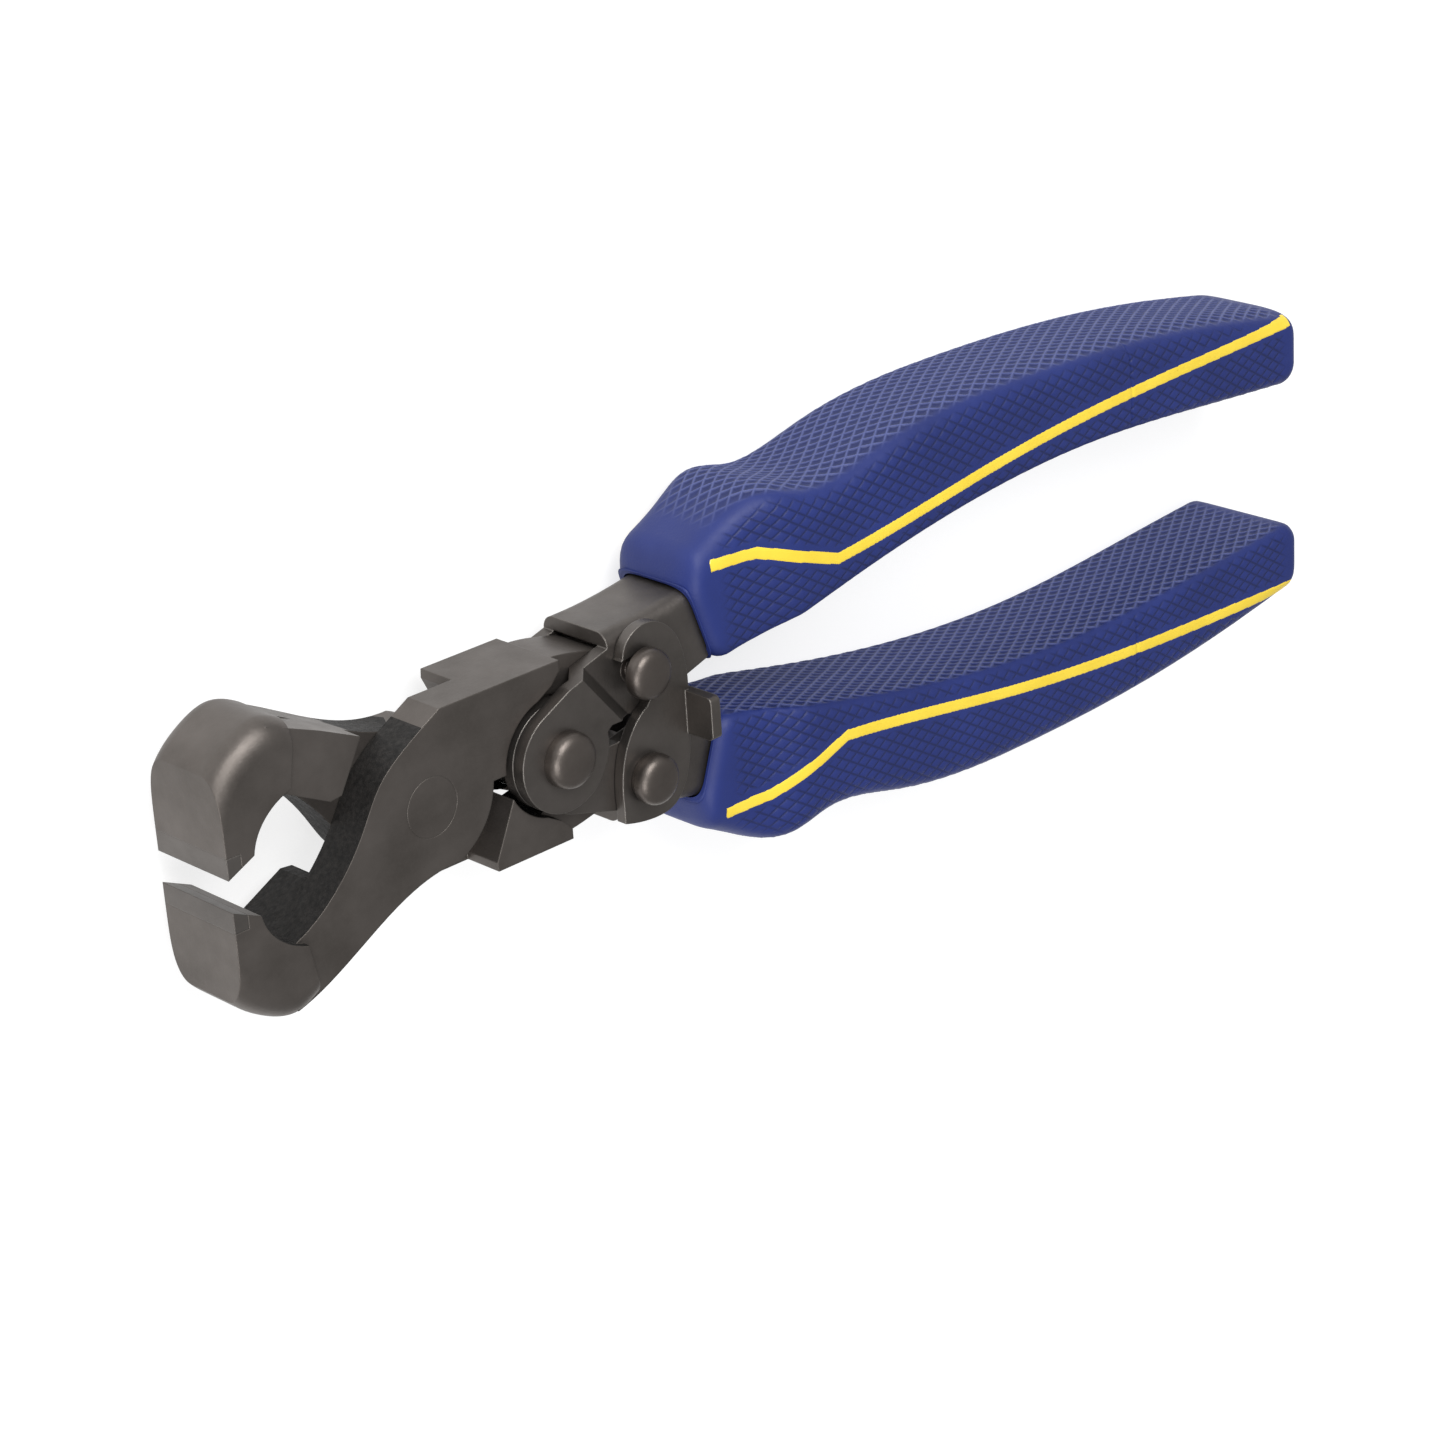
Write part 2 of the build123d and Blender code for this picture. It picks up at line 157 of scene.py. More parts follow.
def eased_copy(node, ease, crisp=never, scaly=None):
    """A CAD node's mesh with its flats made whole and its sharp edges given to the bevel.

    The overlap clamp holds the bevel to almost nothing on these meshes: measured, it cuts a corner back by
    0.016 mm at most. Edges look rounded through the material's soften_edges instead. Edges whose middle
    passes the crisp test are kept from the bevel; faces that pass the scaly take the second
    material, the forging's black scale, which there also serves as painted shade.
    """
    bm = node_bmesh(node)
    bmesh.ops.dissolve_limit(bm, angle_limit=FLAT_FOLD, verts=bm.verts, edges=bm.edges)
    if scaly is not None:
        for face in bm.faces:
            face.material_index = 1 if scaly(tool_place(face.calc_center_median()), face.normal) else 0
    rounded = [e for e in sharp_edges(bm) if not crisp(tool_place((e.verts[0].co + e.verts[1].co) / 2))]
    worn = bm.faces.layers.float.new("worn")
    eased = bmesh.ops.bevel(
        bm, geom=rounded, offset=ease * MM, offset_type="OFFSET", segments=4, profile=0.5, clamp_overlap=True
    )
    for face in eased["faces"]:
        face[worn] = 1.0
    mesh = mesh_with_normals(bm, node)
    bm.free()
    return mesh


# ---- Node materials -----------------------------------------------------------------------------------
class Maker:
    """Small helper that adds and joins shader nodes of one material."""

    def __init__(self, name):
        self.material = bpy.data.materials.new(name)
        self.material.use_nodes = True
        self.tree = self.material.node_tree
        self.shader = self.tree.nodes["Principled BSDF"]
        self.place = self.tree.nodes.new("ShaderNodeTexCoord").outputs["Object"]

    def link(self, output, socket):
        self.tree.links.new(output, socket)

    def noise(self, scale, detail=3, stretch=(1, 1, 1)):
        """Noise with about `scale` features a metre, stretched along an axis by a small factor."""
        mapping = self.tree.nodes.new("ShaderNodeMapping")
        mapping.inputs["Scale"].default_value = stretch
        self.link(self.place, mapping.inputs["Vector"])
        node = self.tree.nodes.new("ShaderNodeTexNoise")
        node.inputs["Scale"].default_value = scale
        node.inputs["Detail"].default_value = detail
        node.inputs["Roughness"].default_value = 0.55
        self.link(mapping.outputs["Vector"], node.inputs["Vector"])
        return node.outputs["Fac"]

    def ramp(self, factor, low, high, start=(0, 0, 0, 1), end=(1, 1, 1, 1)):
        node = self.tree.nodes.new("ShaderNodeValToRGB")
        node.color_ramp.elements[0].position = low
        node.color_ramp.elements[1].position = high
        node.color_ramp.elements[0].color = start
        node.color_ramp.elements[1].color = end
        self.link(factor, node.inputs["Fac"])
        return node.outputs["Color"]

    def mix(self, factor, a, b):
        """Blends two colours; each value is a number, a colour or another node's output."""
        node = self.tree.nodes.new("ShaderNodeMix")
        node.data_type = "RGBA"
        for value, socket in ((factor, node.inputs[0]), (a, node.inputs[6]), (b, node.inputs[7])):
            if isinstance(value, (tuple, float, int)):
                socket.default_value = value
            else:
                self.link(value, socket)
        return node.outputs[2]

    def spread(self, factor, low, high):
        """Maps a 0 to 1 factor to a range of values."""
        node = self.tree.nodes.new("ShaderNodeMapRange")
        node.inputs["To Min"].default_value = low
        node.inputs["To Max"].default_value = high
        self.link(factor, node.inputs["Value"])
        return node.outputs["Result"]

    def bump(self, height, depth, strength=1.0):
        """A bump of a given depth in metres, on top of any bump already made."""
        node = self.tree.nodes.new("ShaderNodeBump")
        node.inputs["Strength"].default_value = strength
        node.inputs["Distance"].default_value = depth
        self.link(height, node.inputs["Height"])
        normal = self.shader.inputs["Normal"]
        if normal.links:
            self.link(normal.links[0].from_socket, node.inputs["Normal"])
        self.link(node.outputs["Normal"], normal)

    def math(self, operation, *values):
        node = self.tree.nodes.new("ShaderNodeMath")
        node.operation = operation
        for value, socket in zip(values, node.inputs):
            if isinstance(value, (float, int)):
                socket.default_value = value
            else:
                self.link(value, socket)
        return node.outputs["Value"]

    def soften_edges(self, radius):
        """Rounds the shading over sharp edges and returns a factor that is 1 on them and 0 on the flats."""
        rounded = self.tree.nodes.new("ShaderNodeBevel")
        rounded.samples = 6
        rounded.inputs["Radius"].default_value = radius
        self.link(rounded.outputs["Normal"], self.shader.inputs["Normal"])
        compare = self.tree.nodes.new("ShaderNodeVectorMath")
        compare.operation = "DOT_PRODUCT"
        self.link(rounded.outputs["Normal"], compare.inputs[0])
        self.link(self.tree.nodes.new("ShaderNodeNewGeometry").outputs["Normal"], compare.inputs[1])
        return self.ramp(self.math("SUBTRACT", 1.0, compare.outputs["Value"]), 0.03, 0.25)

    def attribute(self, name):
        node = self.tree.nodes.new("ShaderNodeAttribute")
        node.attribute_name = name
        return node.outputs["Fac"]

    def lattice_lines(self, across, half):
        """Fine lines, 1 on the line and 0 beyond half a width in mm, of the moulded lattice on one face."""
        split = self.tree.nodes.new("ShaderNodeSeparateXYZ")
        self.link(self.place, split.inputs["Vector"])
        pitch = LATTICE_PITCH * MM
        centred = self.math("SUBTRACT", split.outputs[across], MID_Z if across == "Z" else 0.0)
        lines = []
        for sign in (-1, 1):
            run = self.math("MULTIPLY", split.outputs["X"], sign * sin(LATTICE_ANGLE) / pitch)
            phase = self.math("MULTIPLY_ADD", centred, cos(LATTICE_ANGLE) / pitch, run)
            off = self.math("PINGPONG", phase, 0.5)
            fade = self.math("DIVIDE", off, -half / LATTICE_PITCH)
            lines.append(self.math("MAXIMUM", self.math("ADD", fade, 1.0), 0.0))
        return self.math("MAXIMUM", *lines)

    def finish(self, **values):
        for name, value in values.items():
            self.shader.inputs[name.replace("_", " ")].default_value = value
        return self.material


def steel(name, dark, light, bare, wear, roughness, grain, stretch):
    """Blackened steel: cloudy colour, a fine grain along one direction, and bare metal on the edges."""
    m = Maker(name)
    cloud = m.ramp(m.noise(110, 4), 0.3, 0.72, dark, light)
    fleck = m.ramp(m.noise(2600, 2), 0.42, 0.75)
    tint = m.mix(m.spread(fleck, 0, 0.18), cloud, light)
    edge = m.math("MAXIMUM", m.attribute("worn"), m.soften_edges(EDGE_SHADING_R))
    colour = m.mix(m.math("MULTIPLY", edge, wear), tint, bare)
    m.link(colour, m.shader.inputs["Base Color"])
    m.link(m.spread(m.noise(420, 3), roughness - 0.07, roughness + 0.09), m.shader.inputs["Roughness"])
    m.bump(m.noise(grain, 2, stretch), 0.00003, 0.5)
    m.bump(m.noise(900, 3), 0.00004, 0.35)
    return m.finish(Metallic=0.9)


def scale_and_painted_shade():
    """The unground skin of the forging: near black and rough, and on the recessed faces that it is given to
    also painted shade.
    """
    m = Maker("scale_and_painted_shade")
    # Near black: the forging's scale, and painted shade in the recesses that this material is given to.
    scale_and_shade_colour = m.ramp(m.noise(1500, 4), 0.35, 0.8, (0.006, 0.0055, 0.005, 1), (0.026, 0.023, 0.021, 1))
    m.link(scale_and_shade_colour, m.shader.inputs["Base Color"])
    m.link(m.spread(m.noise(800, 3), 0.55, 0.85), m.shader.inputs["Roughness"])
    m.bump(m.noise(1400, 4), 0.0002, 0.8)
    return m.finish(Metallic=0.35)


def grip_material():
    """Soft blue moulding: on the faces ridges with a painted highlight round cells with painted shade, on the
    sides fine grooves with painted shade.
    """
    m = Maker("grip_blue")
    face = m.attribute("face_mask")
    side = m.attribute("side_mask")
    ridge = m.math("MULTIPLY", face, m.lattice_lines("Z", RIDGE_WIDTH))
    groove = m.math("MULTIPLY", side, m.lattice_lines("Y", GROOVE_WIDTH))
    cloud = m.ramp(m.noise(70, 3), 0.3, 0.7, (0.0095, 0.0190, 0.115, 1), (0.0125, 0.0245, 0.142, 1))
    # Painted shade: the faces' cells between the ridges are darkened, partly also a darker tone of the
    # moulding.
    colour = m.mix(m.math("MULTIPLY", face, 0.8), cloud, (0.0085, 0.0145, 0.072, 1))
    # Painted highlight: the ridges are lightened as glints on them, partly also wear.
    colour = m.mix(m.math("MULTIPLY", ridge, 0.9), colour, (0.085, 0.105, 0.270, 1))
    # Painted shade: the grooves on the sides are darkened.
    colour = m.mix(m.math("MULTIPLY", groove, 0.75), colour, (0.0050, 0.0085, 0.042, 1))
    m.link(colour, m.shader.inputs["Base Color"])
    m.link(m.spread(m.noise(500, 3), 0.46, 0.60), m.shader.inputs["Roughness"])
    m.bump(m.noise(2600, 2, (0.7, 1, 1)), 0.00008, 0.35)
    m.bump(m.math("SUBTRACT", ridge, groove), 0.00012, 0.6)
    return m.finish(Specular_IOR_Level=0.36)


def stripe_material():
    m = Maker("stripe_yellow")
    yellow = m.ramp(m.noise(160, 3), 0.3, 0.7, (0.72, 0.52, 0.034, 1), (0.78, 0.58, 0.048, 1))
    m.link(yellow, m.shader.inputs["Base Color"])
    m.link(m.spread(m.noise(700, 2), 0.38, 0.5), m.shader.inputs["Roughness"])
    m.bump(m.noise(2200, 2), 0.00004, 0.3)
    return m.finish()


FORGED = steel(
    "forged_steel",
    dark=(0.096, 0.085, 0.077, 1),
    light=(0.142, 0.127, 0.117, 1),
    bare=(0.24, 0.222, 0.205, 1),
    wear=0.1,
    roughness=0.47,
    grain=5200,
    stretch=(0.12, 1, 1),
)
STAMPED = steel(
    "stamped_steel",
    dark=(0.090, 0.081, 0.074, 1),
    light=(0.134, 0.121, 0.112, 1),
    bare=(0.30, 0.28, 0.26, 1),
    wear=0.55,
    roughness=0.42,
    grain=4200,
    stretch=(1, 0.15, 1),
)
RIVET = steel(
    "rivet_steel",
    dark=(0.080, 0.068, 0.061, 1),
    light=(0.130, 0.114, 0.103, 1),
    bare=(0.24, 0.215, 0.195, 1),
    wear=0.3,
    roughness=0.40,
    grain=3800,
    stretch=(1, 1, 1),
)
SPRING = steel(
    "spring_steel",
    dark=(0.16, 0.155, 0.15, 1),
    light=(0.26, 0.25, 0.24, 1),
    bare=(0.5, 0.48, 0.46, 1),
    wear=0.3,
    roughness=0.28,
    grain=3000,
    stretch=(1, 1, 0.2),
)
CARBIDE = steel(
    "carbide",
    dark=(0.098, 0.089, 0.083, 1),
    light=(0.144, 0.132, 0.123, 1),
    bare=(0.26, 0.245, 0.23, 1),
    wear=0.1,
    roughness=0.45,
    grain=6000,
    stretch=(1, 1, 0.15),
)
SCALE_AND_SHADE = scale_and_painted_shade()
BLUE = grip_material()
YELLOW = stripe_material()


# ---- Steel parts --------------------------------------------------------------------------------------
def steel_piece(node, body, slot, material, ease, **rules):
    """A CAD node's remade mesh as a piece in its own finish."""
    return add_piece(node + "_worked", eased_copy(node, ease, **rules), body, slot, material, node)


def ground_edge(middle):
    """Jaw edges kept from the bevel: round the flush pivot rivet, the ground end face and the tip."""
    by_pivot = hypot(middle.x - JAW_PIVOT_X, middle.y) < CRISP_PIVOT_R
    by_tip = middle.x < JAW_TIP_X + 2.4 and abs(middle.y) < 13
    return by_pivot or by_tip


def scale_and_shaded_recess(middle, normal):
    """Jaw faces that keep the black skin of the forging, whose near black also paints shade into these
    recesses: inside the mouth and round the handle lobes.
    """
    in_mouth = -47.5 < middle.x < -19 and abs(middle.y) < 11.5
    by_lobes = middle.x > -12 and hypot(middle.x, middle.y) < 10.5
    return abs(normal.z) < 0.6 and (in_mouth or by_lobes)


def steel_parts():
    """Every steel and carbide piece except the spring."""
    for side in ("upper", "lower"):
        jaw = steel_piece(
            f"{side}_jaw", f"{side}_jaw", "forged_steel", FORGED, 0.25, crisp=ground_edge, scaly=scale_and_shaded_recess
        )
        # The second material is the black scale, which in the mouth and round the lobes is also painted shade.
        jaw.data.materials.append(SCALE_AND_SHADE)
        steel_piece(f"{side}_carbide_tip", f"{side}_jaw", "carbide", CARBIDE, 0.05, crisp=ground_edge)
        steel_piece(f"{side}_handle_channel", f"{side}_handle", "stamped_steel", STAMPED, 0.22)
        steel_piece(f"{side}_link_rivet", f"{side}_handle", "rivet_steel", RIVET, 0.12)
    steel_piece("handle_pivot_rivet", "upper_handle", "rivet_steel", RIVET, 0.12)
    steel_piece("jaw_pivot_rivet", "lower_jaw", "forged_steel", FORGED, 0.02)
    steel_piece("pivot_sleeve", "upper_handle", "rivet_steel", RIVET, 0.15)
    steel_piece("latch_washer", "lower_handle", "rivet_steel", RIVET, 0.12)
    steel_piece("latch_plate", "latch", "stamped_steel", STAMPED, 0.2)


# ---- Spring -------------------------------------------------------------------------------------------
WIRE_R = 0.7
SPRING_TURNS = 3
SPRING_LEG_END = (17.5, 1.9)
END_EASE = 0.2
LEG_STEPS = 12
COIL_STEPS = 110


def tube(points, radius, sides=20):
    """A closed round bar along a run of points, as a mesh."""
    bm = bmesh.new()
    rings = []
    across = Vector((0, 0, 1))
    for i, point in enumerate(points):
        along = (points[min(i + 1, len(points) - 1)] - points[max(i - 1, 0)]).normalized()
        across = (across - along * across.dot(along)).normalized()
        other = along.cross(across)
        turns = [2 * pi * k / sides for k in range(sides)]
        rings.append([bm.verts.new(point + radius * (cos(t) * across + sin(t) * other)) for t in turns])
    for a, b in zip(rings, rings[1:]):
        for k in range(sides):
            bm.faces.new((a[k], a[(k + 1) % sides], b[(k + 1) % sides], b[k]))
    bm.faces.new(list(reversed(rings[0])))
    bm.faces.new(rings[-1])
    bmesh.ops.recalc_face_normals(bm, faces=bm.faces)
    caps = [f for f in bm.faces if len(f.verts) == sides]
    rims = list({e for f in caps for e in f.edges})
    bmesh.ops.bevel(bm, geom=rims, offset=END_EASE * radius, segments=2, profile=0.5)
    mesh = bpy.data.meshes.new("tube")
    bm.to_mesh(mesh)
    bm.free()
    shade_smooth(mesh)
    return mesh


def spring():
    """The torsion spring as two halves of one left-hand coil, each with the leg that its handle holds."""
    wire = WIRE_R * MM
    low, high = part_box("torsion_spring")
    coil_r = (high.y - low.y) / 2 - wire
    height = high.z - low.z - 2 * wire
    leg_end = Vector(SPRING_LEG_END) * MM
    tangent = np.arctan2(leg_end.y, leg_end.x) + np.arccos(coil_r / leg_end.length)
    whole = 2 * pi * (SPRING_TURNS + 1) - 2 * tangent
    overlap = radians(12)
    for name, body, side in (("lower", "lower_handle", -1), ("upper", "upper_handle", 1)):
        end_z = side * height / 2
        leg = Vector((leg_end.x, side * leg_end.y, end_z))
        start = Vector((coil_r * cos(tangent), side * coil_r * sin(tangent), end_z))
        points = [leg + (start - leg) * i / LEG_STEPS for i in range(LEG_STEPS)]
        for i in range(COIL_STEPS + 1):
            turned = (whole / 2 + overlap) * i / COIL_STEPS
            angle = side * (tangent + turned)
            z = end_z - side * height * turned / whole
            points.append(Vector((coil_r * cos(angle), coil_r * sin(angle), z)))
        mesh = tube([PIVOT + p for p in points], wire)
        piece = add_piece(f"torsion_spring_{name}_half", mesh, body, "spring_steel", SPRING)
        if side > 0:
            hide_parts("torsion_spring")


# ---- Grips --------------------------------------------------------------------------------------------
# Points on the section's faces, sides and corners, and stations along the grip
FACE_POINTS = 58
SIDE_POINTS = 42
CORNER_POINTS = 6
CORNER_STATIONS = 10
STATIONS = 440

# Section corners as powers of a rounded square: soft along the back, crisp along the inner face
BACK_POWER = 4.6
INNER_POWER = 11

# The mouth that the channel comes out of, in mm: its middle, and half its width and height
MOUTH_X, MOUTH_Y = 24.95, 9.55
MOUTH_HALF_WIDTH, MOUTH_HALF_HEIGHT = 6.55, 5.75
MOUTH_POWER = 8
MOUTH_DEPTH = 4.0

# A stripe's section as (share of its width, mm above the skin), and its sections along the grip
STRIPE_SECTION = (
    (0.0, -0.50),
    (0.0, 0.0),
    (0.12, 0.08),
    (0.35, 0.08),
    (0.65, 0.08),
    (0.88, 0.08),
    (1.0, 0.0),
    (1.0, -0.50),
)
STRIPE_ROWS = 420


def around():
    """Places round a grip's section as (across, up) on the unit square, denser on the patterned faces."""
    back = 0.80
    inner = 0.88
    top, bottom = 0.62, -0.76
    turns = np.linspace(0, pi / 2, CORNER_POINTS + 2)[1:-1]
    places = [(-back + 2 * back * i / (FACE_POINTS - 1), 1.0) for i in range(FACE_POINTS)]
    places += [(back + (1 - back) * sin(t), top + (1 - top) * cos(t)) for t in turns]
    places += [(1.0, top + (bottom - top) * i / (SIDE_POINTS - 1)) for i in range(SIDE_POINTS)]
    places += [(inner + (1 - inner) * cos(t), bottom - (1 + bottom) * sin(t)) for t in turns]
    places += [(inner - 2 * inner * i / (FACE_POINTS - 1), -1.0) for i in range(FACE_POINTS)]
    one_side = places[FACE_POINTS : FACE_POINTS + 2 * CORNER_POINTS + SIDE_POINTS]
    return places + [(-across, up) for across, up in reversed(one_side)]


def outer_hit(tree, centre, direction):
    """Where a line from far outside towards the centre first meets the surface."""
    far = centre + direction * 3
    hit = tree.ray_cast(far, -direction.normalized())[0]
    return hit if hit is not None else centre + direction


def grip_stations(length):
    """Distances along a grip, closer together over the rounding at both ends."""
    round_r = GRIP_CORNER_R * MM
    inset = 0.03 * MM
    fine = [inset + round_r * (1 - cos(t)) for t in np.linspace(0, pi / 2, CORNER_STATIONS)]
    middle = list(np.linspace(round_r, length - round_r, STATIONS)[1:-1])
    return fine + middle + [length - s for s in reversed(fine)]


def grip_rings(tree, end_x):
    """Rings of points round the upper grip, from the collar's face to the end face."""
    front_x = PIVOT.x + COLLAR_X * MM
    upright_from = 26 * MM
    reach = 12 * MM
    places = around()
    rings = []
    guess_y = 10.4 * MM
    for s in grip_stations(end_x - front_x):
        tilt = NOSE_LEAN * (1 - smoothstep(0, upright_from, s))
        up = Vector((sin(tilt), cos(tilt), 0))
        centre = Vector((front_x + s, guess_y, MID_Z))
        for _ in range(2):
            top = outer_hit(tree, centre, up * reach)
            bottom = outer_hit(tree, centre, up * -reach)
            centre += up * ((top + bottom) / 2 - centre).dot(up)
        guess_y = centre.y
        half_height = (top - bottom).length / 2
        wide = outer_hit(tree, centre, Vector((0, 0, reach)))
        half_width = (wide - centre).length
        ring = []
        for a, b in places:
            direction = up * (b * half_height) + Vector((0, 0, a * half_width))
            p = outer_hit(tree, centre, direction)
            across = (p.z - centre.z) / half_width
            rise = (p - centre).dot(up) / half_height
            power = BACK_POWER if rise > 0 else INNER_POWER
            over = (abs(across) ** power + abs(rise) ** power) ** (1 / power)
            if over > 1:
                p = centre + (p - centre) / over
            ring.append(p)
        rings.append(ring)
    return rings


def lattice(along, across):
    """Ridge height, 0 to 1, of two crossed families of lines; lengths in mm."""
    best = np.zeros_like(along)
    for sign in (-1, 1):
        phase = (across * cos(LATTICE_ANGLE) + sign * along * sin(LATTICE_ANGLE)) / LATTICE_PITCH
        off = np.abs(phase - np.round(phase)) * LATTICE_PITCH
        best = np.maximum(best, np.exp(-((off / RIDGE_HALF) ** 2)))
    return best


def node_tree(*names):
    """A search tree over the meshes of CAD nodes, for rays and nearest points."""
    bm = node_bmesh(*names)
    tree = BVHTree.FromBMesh(bm)
    bm.free()
    return tree


def grid_normals(grid):
    """The outward unit normal at each point of a stack of rings."""
    along = np.gradient(grid, axis=0)
    round_way = np.roll(grid, -1, axis=1) - np.roll(grid, 1, axis=1)
    normal = np.cross(round_way, along)
    normal /= np.linalg.norm(normal, axis=2)[..., None] + 1e-12
    centre = grid.mean(axis=1)[:, None, :]
    inward = ((grid - centre) * normal).sum() < 0
    return -normal if inward else normal


def moulded_rings():
    """The upper grip's rings with the lattice pressed in, and where its faces and sides are patterned."""
    stripes = ("upper_front_stripe", "upper_back_stripe")
    stripe_tree = node_tree(*stripes)
    end_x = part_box("upper_grip")[1].x
    rings = grip_rings(node_tree("upper_grip", *stripes), end_x)
    grid = np.array([[tuple(p) for p in ring] for ring in rings])
    normal = grid_normals(grid)
    x = grid[..., 0] / MM
    y = grid[..., 1] / MM
    z = (grid[..., 2] - MID_Z) / MM
    front, end = x.min(), x.max()
    to_stripe = np.array([[stripe_tree.find_nearest(Vector(p))[3] for p in ring] for ring in grid]) / MM
    ends = smoothstep(front + 4.5, front + 7.5, x) * (1 - smoothstep(end - 5.5, end - 2.5, x))
    face = smoothstep(0.80, 0.95, np.abs(normal[..., 1])) * ends
    side = smoothstep(0.72, 0.95, np.abs(normal[..., 2])) * ends * smoothstep(0.5, 1.1, to_stripe)
    on_face = lattice(x, z)
    on_side = lattice(x, y)
    drop = FACE_DEPTH * face * (1 - on_face) + SIDE_DEPTH * side * on_side
    grid = grid - normal * (drop * MM)[..., None]
    return grid, {"face_mask": face, "side_mask": side}


def mouth_rings(front):
    """Rings from deep inside the mouth, over its lip, to halfway across the collar's front face."""
    shape = np.array(around())
    up = np.array((sin(NOSE_LEAN), cos(NOSE_LEAN), 0.0))
    along = np.array((cos(NOSE_LEAN), -sin(NOSE_LEAN), 0.0))
    middle = np.array((PIVOT.x + MOUTH_X * MM, MOUTH_Y * MM, MID_Z))
    scale = (np.abs(shape) ** MOUTH_POWER).sum(axis=1) ** (1 / MOUTH_POWER)
    rounded = shape / scale[:, None]
    width = np.array((0, 0, MOUTH_HALF_WIDTH * MM))
    mouth = middle + rounded[:, :1] * width + rounded[:, 1:] * up * MOUTH_HALF_HEIGHT * MM
    mouth = mouth + along * ((front.mean(axis=0) - mouth) @ along)[:, None]
    lip = mouth + (mouth - mouth.mean(axis=0)) * 0.06
    inside = [mouth + along * depth * MM for depth in (MOUTH_DEPTH, 0.5)]
    return inside + [lip - along * 0.02 * MM, (lip + front) / 2]


def mesh_from_rings(name, grid, masks):
    """Joins the rings into a skin, closes the end, and makes the mouth that the channel comes out of."""
    places = grid.shape[1]
    end_centre = grid[-1].mean(axis=0)
    before = mouth_rings(grid[0])
    after = [end_centre + (grid[-1] - end_centre) * k for k in (0.9, 0.7, 0.45, 0.2)]
    rows = np.concatenate([np.array(before), grid, np.array(after)])
    total = len(rows)
    verts = np.concatenate([rows.reshape(-1, 3), [rows[0].mean(axis=0)], [end_centre]])
    faces = []
    for i in range(total - 1):
        for k in range(places):
            n = (k + 1) % places
            faces.append((i * places + k, i * places + n, (i + 1) * places + n, (i + 1) * places + k))
    for k in range(places):
        n = (k + 1) % places
        faces.append((total * places, n, k))
        faces.append((total * places + 1, (total - 1) * places + k, (total - 1) * places + n))
    mesh = bpy.data.meshes.new(name)
    mesh.from_pydata(verts.tolist(), [], faces)
    for mask, values in masks.items():
        plain = np.zeros(len(before) * places)
        every = np.concatenate([plain, values.ravel(), np.zeros(len(after) * places + 2)])
        attribute = mesh.attributes.new(mask, "FLOAT", "POINT")
        attribute.data.foreach_set("value", every.astype(np.float32))
    bm = bmesh.new()
    bm.from_mesh(mesh)
    bmesh.ops.recalc_face_normals(bm, faces=bm.faces)
    bm.to_mesh(mesh)
    bm.free()
    shade_smooth(mesh)
    return mesh


def half_turn():
    """Half a turn about the tool's long middle axis, which carries upper parts to lower ones."""
    raise_up = Matrix.Translation((0, 0, MID_Z))
    return raise_up @ Matrix.Rotation(pi, 4, "X") @ raise_up.inverted()


def stripe_mesh(node, skin, outward):
    """A ribbon over a CAD stripe that follows the grip's skin, a hair proud of it, with eased edges."""
    tree = node_tree(node)
    low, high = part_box(node)
    inwards = Vector((0, 0, -outward))

    def outside_of(target, x, y):
        return target.ray_cast(Vector((x, y, MID_Z + outward * FAR)), inwards)[0]

    scan = np.arange(low.y - 0.05 * MM, high.y + 0.05 * MM, 0.1 * MM)
    rows = []
    for x in np.linspace(low.x + 0.05 * MM, high.x - 0.25 * MM, STRIPE_ROWS):
        inside = [y for y in scan if outside_of(tree, x, y) is not None]
        if not inside:
            continue
        row = []
        for share, lift in STRIPE_SECTION:
            y = inside[0] + share * (inside[-1] - inside[0])
            hit = outside_of(skin, x, y)
            if hit is not None:
                row.append((x, y, hit.z + outward * lift * MM))
        if len(row) == len(STRIPE_SECTION):
            rows.append(row)
    return ribbon(node, rows)


def ribbon(name, rows):
    """A closed bar whose top follows rows of points and whose underside joins their two ends."""
    bm = bmesh.new()
    grid = [[bm.verts.new(p) for p in row] for row in rows]
    count = len(rows[0])
    for a, b in zip(grid, grid[1:]):
        for k in range(count):
            n = (k + 1) % count
            bm.faces.new((a[k], a[n], b[n], b[k]))
    bm.faces.new(grid[0])
    bm.faces.new(list(reversed(grid[-1])))
    bmesh.ops.recalc_face_normals(bm, faces=bm.faces)
    mesh = mesh_with_normals(bm, name)
    bm.free()
    return mesh


def grips():
    """The moulded grips, one the half turn of the other, and the stripes inlaid in both sides of each."""
    grid, masks = moulded_rings()
    upper = mesh_from_rings("upper_grip_skin", grid, masks)
    lower = upper.copy()
    lower.transform(half_turn())
    for side, mesh in (("upper", upper), ("lower", lower)):
        add_piece(f"{side}_grip_moulded", mesh, f"{side}_handle", "grip_blue", BLUE, f"{side}_grip")
        skin = BVHTree.FromPolygons([v.co for v in mesh.vertices], [tuple(p.vertices) for p in mesh.polygons])
        for name, outward in (("front", 1), ("back", -1)):
            node = f"{side}_{name}_stripe"
            strip = stripe_mesh(node, skin, outward)
            add_piece(node + "_inlay", strip, f"{side}_handle", "stripe_yellow", YELLOW, node)


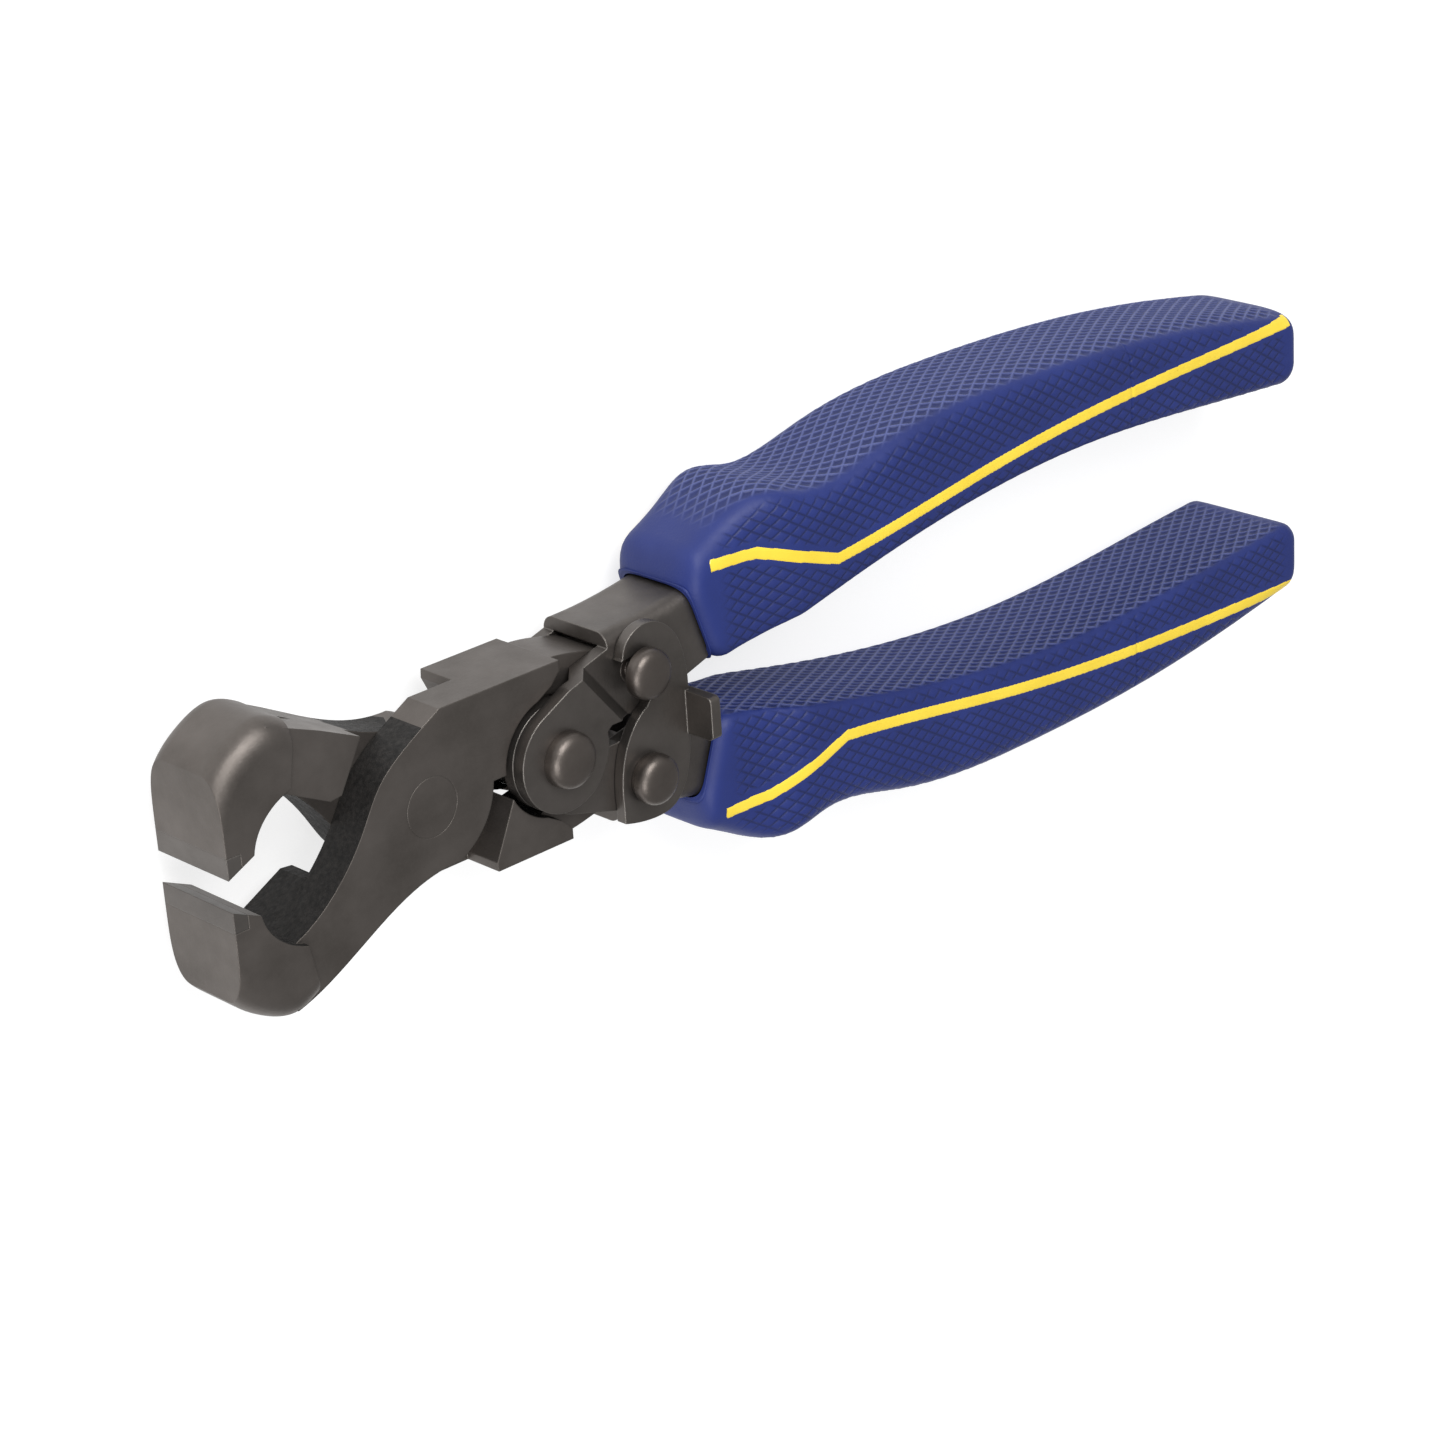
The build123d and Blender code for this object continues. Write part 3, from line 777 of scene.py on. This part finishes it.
# ---- Stage --------------------------------------------------------------------------------------------
def camera():
    """Looks down on the tool from the jaws' side through a long lens."""
    looks = Vector((0.62299, -0.39026, -0.67792))
    up = Vector((0.31243, 0.91867, -0.24173))
    right = looks.cross(up)
    eye = PIVOT + Vector((-0.28420, 0.19080, 0.34690))
    data = bpy.data.cameras.new("camera")
    data.sensor_width = 36
    data.lens = 94.67
    data.clip_start = 0.01
    shot = bpy.data.objects.new("camera", data)
    bpy.context.scene.collection.objects.link(shot)
    axes = Matrix((right, up, -looks)).transposed().to_4x4()
    shot.matrix_world = Matrix.Translation(eye) @ axes
    bpy.context.scene.camera = shot


def lamp(name, place, aim, size, power, colour=(1, 1, 1)):
    data = bpy.data.lights.new(name, "AREA")
    data.shape = "RECTANGLE"
    data.size, data.size_y = size
    data.energy = power
    data.color = colour
    light = bpy.data.objects.new(name, data)
    bpy.context.scene.collection.objects.link(light)
    light.location = place
    light.rotation_mode = "QUATERNION"
    light.rotation_quaternion = (Vector(aim) - Vector(place)).to_track_quat("-Z", "Y")


def stage():
    """A pale floor, two soft lamps and a dim even surround."""
    bm = bmesh.new()
    bmesh.ops.create_grid(bm, x_segments=1, y_segments=1, size=3)
    mesh = bpy.data.meshes.new("floor")
    bm.to_mesh(mesh)
    bm.free()
    paper = bpy.data.materials.new("paper")
    paper.use_nodes = True
    shader = paper.node_tree.nodes["Principled BSDF"]
    shader.inputs["Base Color"].default_value = (0.35, 0.35, 0.35, 1)
    shader.inputs["Roughness"].default_value = 0.9
    shader.inputs["Emission Color"].default_value = (1, 1, 1, 1)
    shader.inputs["Emission Strength"].default_value = 0.74
    mesh.materials.append(paper)
    ground = bpy.data.objects.new("floor", mesh)
    ground.location.z = -0.0003
    bpy.context.scene.collection.objects.link(ground)
    lamp("key", (-0.25, 0.75, 0.75), (0, 0, 0), (0.7, 0.7), 12.5)
    lamp("fill", (-0.7, -0.2, 0.6), (0, 0, 0), (0.6, 0.6), 5)
    world = bpy.data.worlds.new("surround")
    world.use_nodes = True
    background = world.node_tree.nodes["Background"]
    background.inputs["Color"].default_value = (1, 1, 1, 1)
    background.inputs["Strength"].default_value = 0.42
    bpy.context.scene.world = world
    bpy.context.scene.view_settings.view_transform = "Standard"


camera()
stage()
steel_parts()
spring()
grips()
